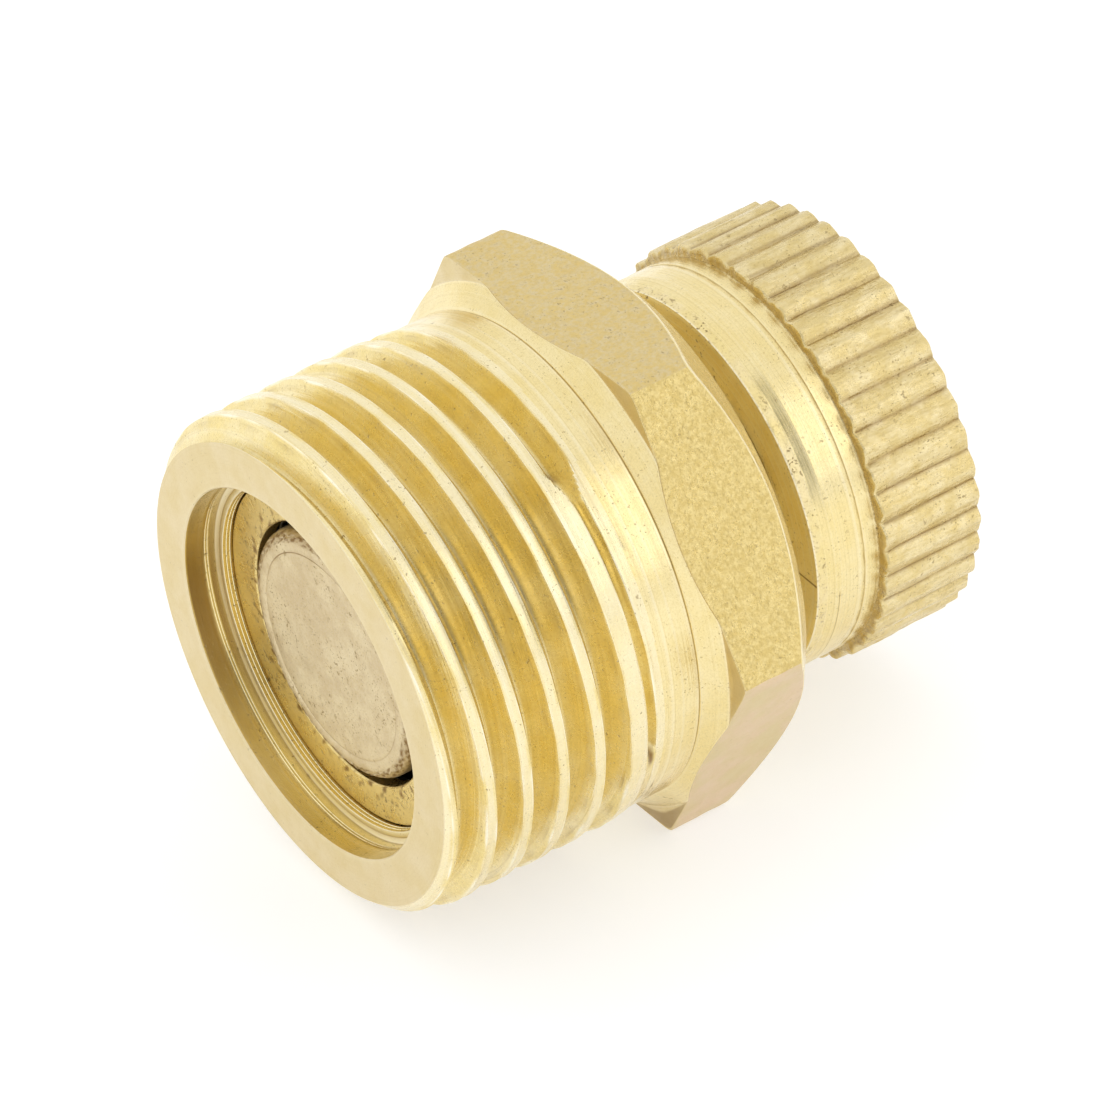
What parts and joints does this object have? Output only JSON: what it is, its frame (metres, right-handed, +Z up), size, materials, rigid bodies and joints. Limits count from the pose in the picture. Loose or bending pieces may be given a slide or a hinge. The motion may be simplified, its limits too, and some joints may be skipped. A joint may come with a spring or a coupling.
{
  "type": "automatic air vent",
  "caption": "Radiator air vent: a brass body with a pipe thread and a hexagon, a knurled screw knob, a spring-loaded check plunger and a stack of fibre discs.",
  "frame": {"origin": "on the surface that the lower hexagon flat rests on, under the middle of the vent's length", "axes": "+X along the vent's axis from the threaded end to the knob, +Z up out of the upper hexagon flat, Y across two hexagon corners"},
  "size_m": [0.0208, 0.0196, 0.017],
  "materials": {
    "turned_brass": "satin",
    "knurled_brass": "satin",
    "dull_brass": "matte",
    "fibre": "matte",
    "rubber": "matte",
    "steel": "satin"
  },
  "bodies": {
    "housing": {"body": "turned_brass", "inlet_ring": "turned_brass", "plunger_spring": "steel"},
    "check_valve": {"check_plunger": "dull_brass", "plunger_seal": "rubber"},
    "disc_cartridge": {"cartridge_pin": "turned_brass", "lower_washer": "turned_brass", "fibre_disc_1": "fibre", "fibre_disc_2": "fibre", "fibre_disc_3": "fibre", "fibre_disc_4": "fibre", "fibre_disc_5": "fibre", "fibre_disc_6": "fibre", "fibre_disc_7": "fibre", "fibre_disc_8": "fibre", "upper_washer": "turned_brass", "retaining_clip": "steel"},
    "knob_assembly": {"knob": "knurled_brass", "cap_gasket": "rubber", "pin_swivel_ring": "steel"}
  },
  "joints": [
    {"name": "knob_advance", "type": "slide", "parent": "housing", "child": "disc_cartridge", "axis": [1, 0, 0], "range_m": [-0.0012, 0.0012]},
    {"name": "knob_turn", "type": "hinge", "parent": "disc_cartridge", "child": "knob_assembly", "pos_m": [0.01045, 0, 0.0085], "axis": [1, 0, 0], "range_deg": [-570, 570]},
    {"name": "plunger_slide", "type": "slide", "parent": "housing", "child": "check_valve", "axis": [1, 0, 0], "range_m": [-0.0012, 0.0012], "deforming": ["plunger_spring"]}
  ],
  "couplings": [
    {"joint": "knob_advance", "follows": "knob_turn", "m_per_rad": 0.00011937},
    {"joint": "plunger_slide", "follows": "knob_turn", "m_per_rad": 0.00011937}
  ]
}
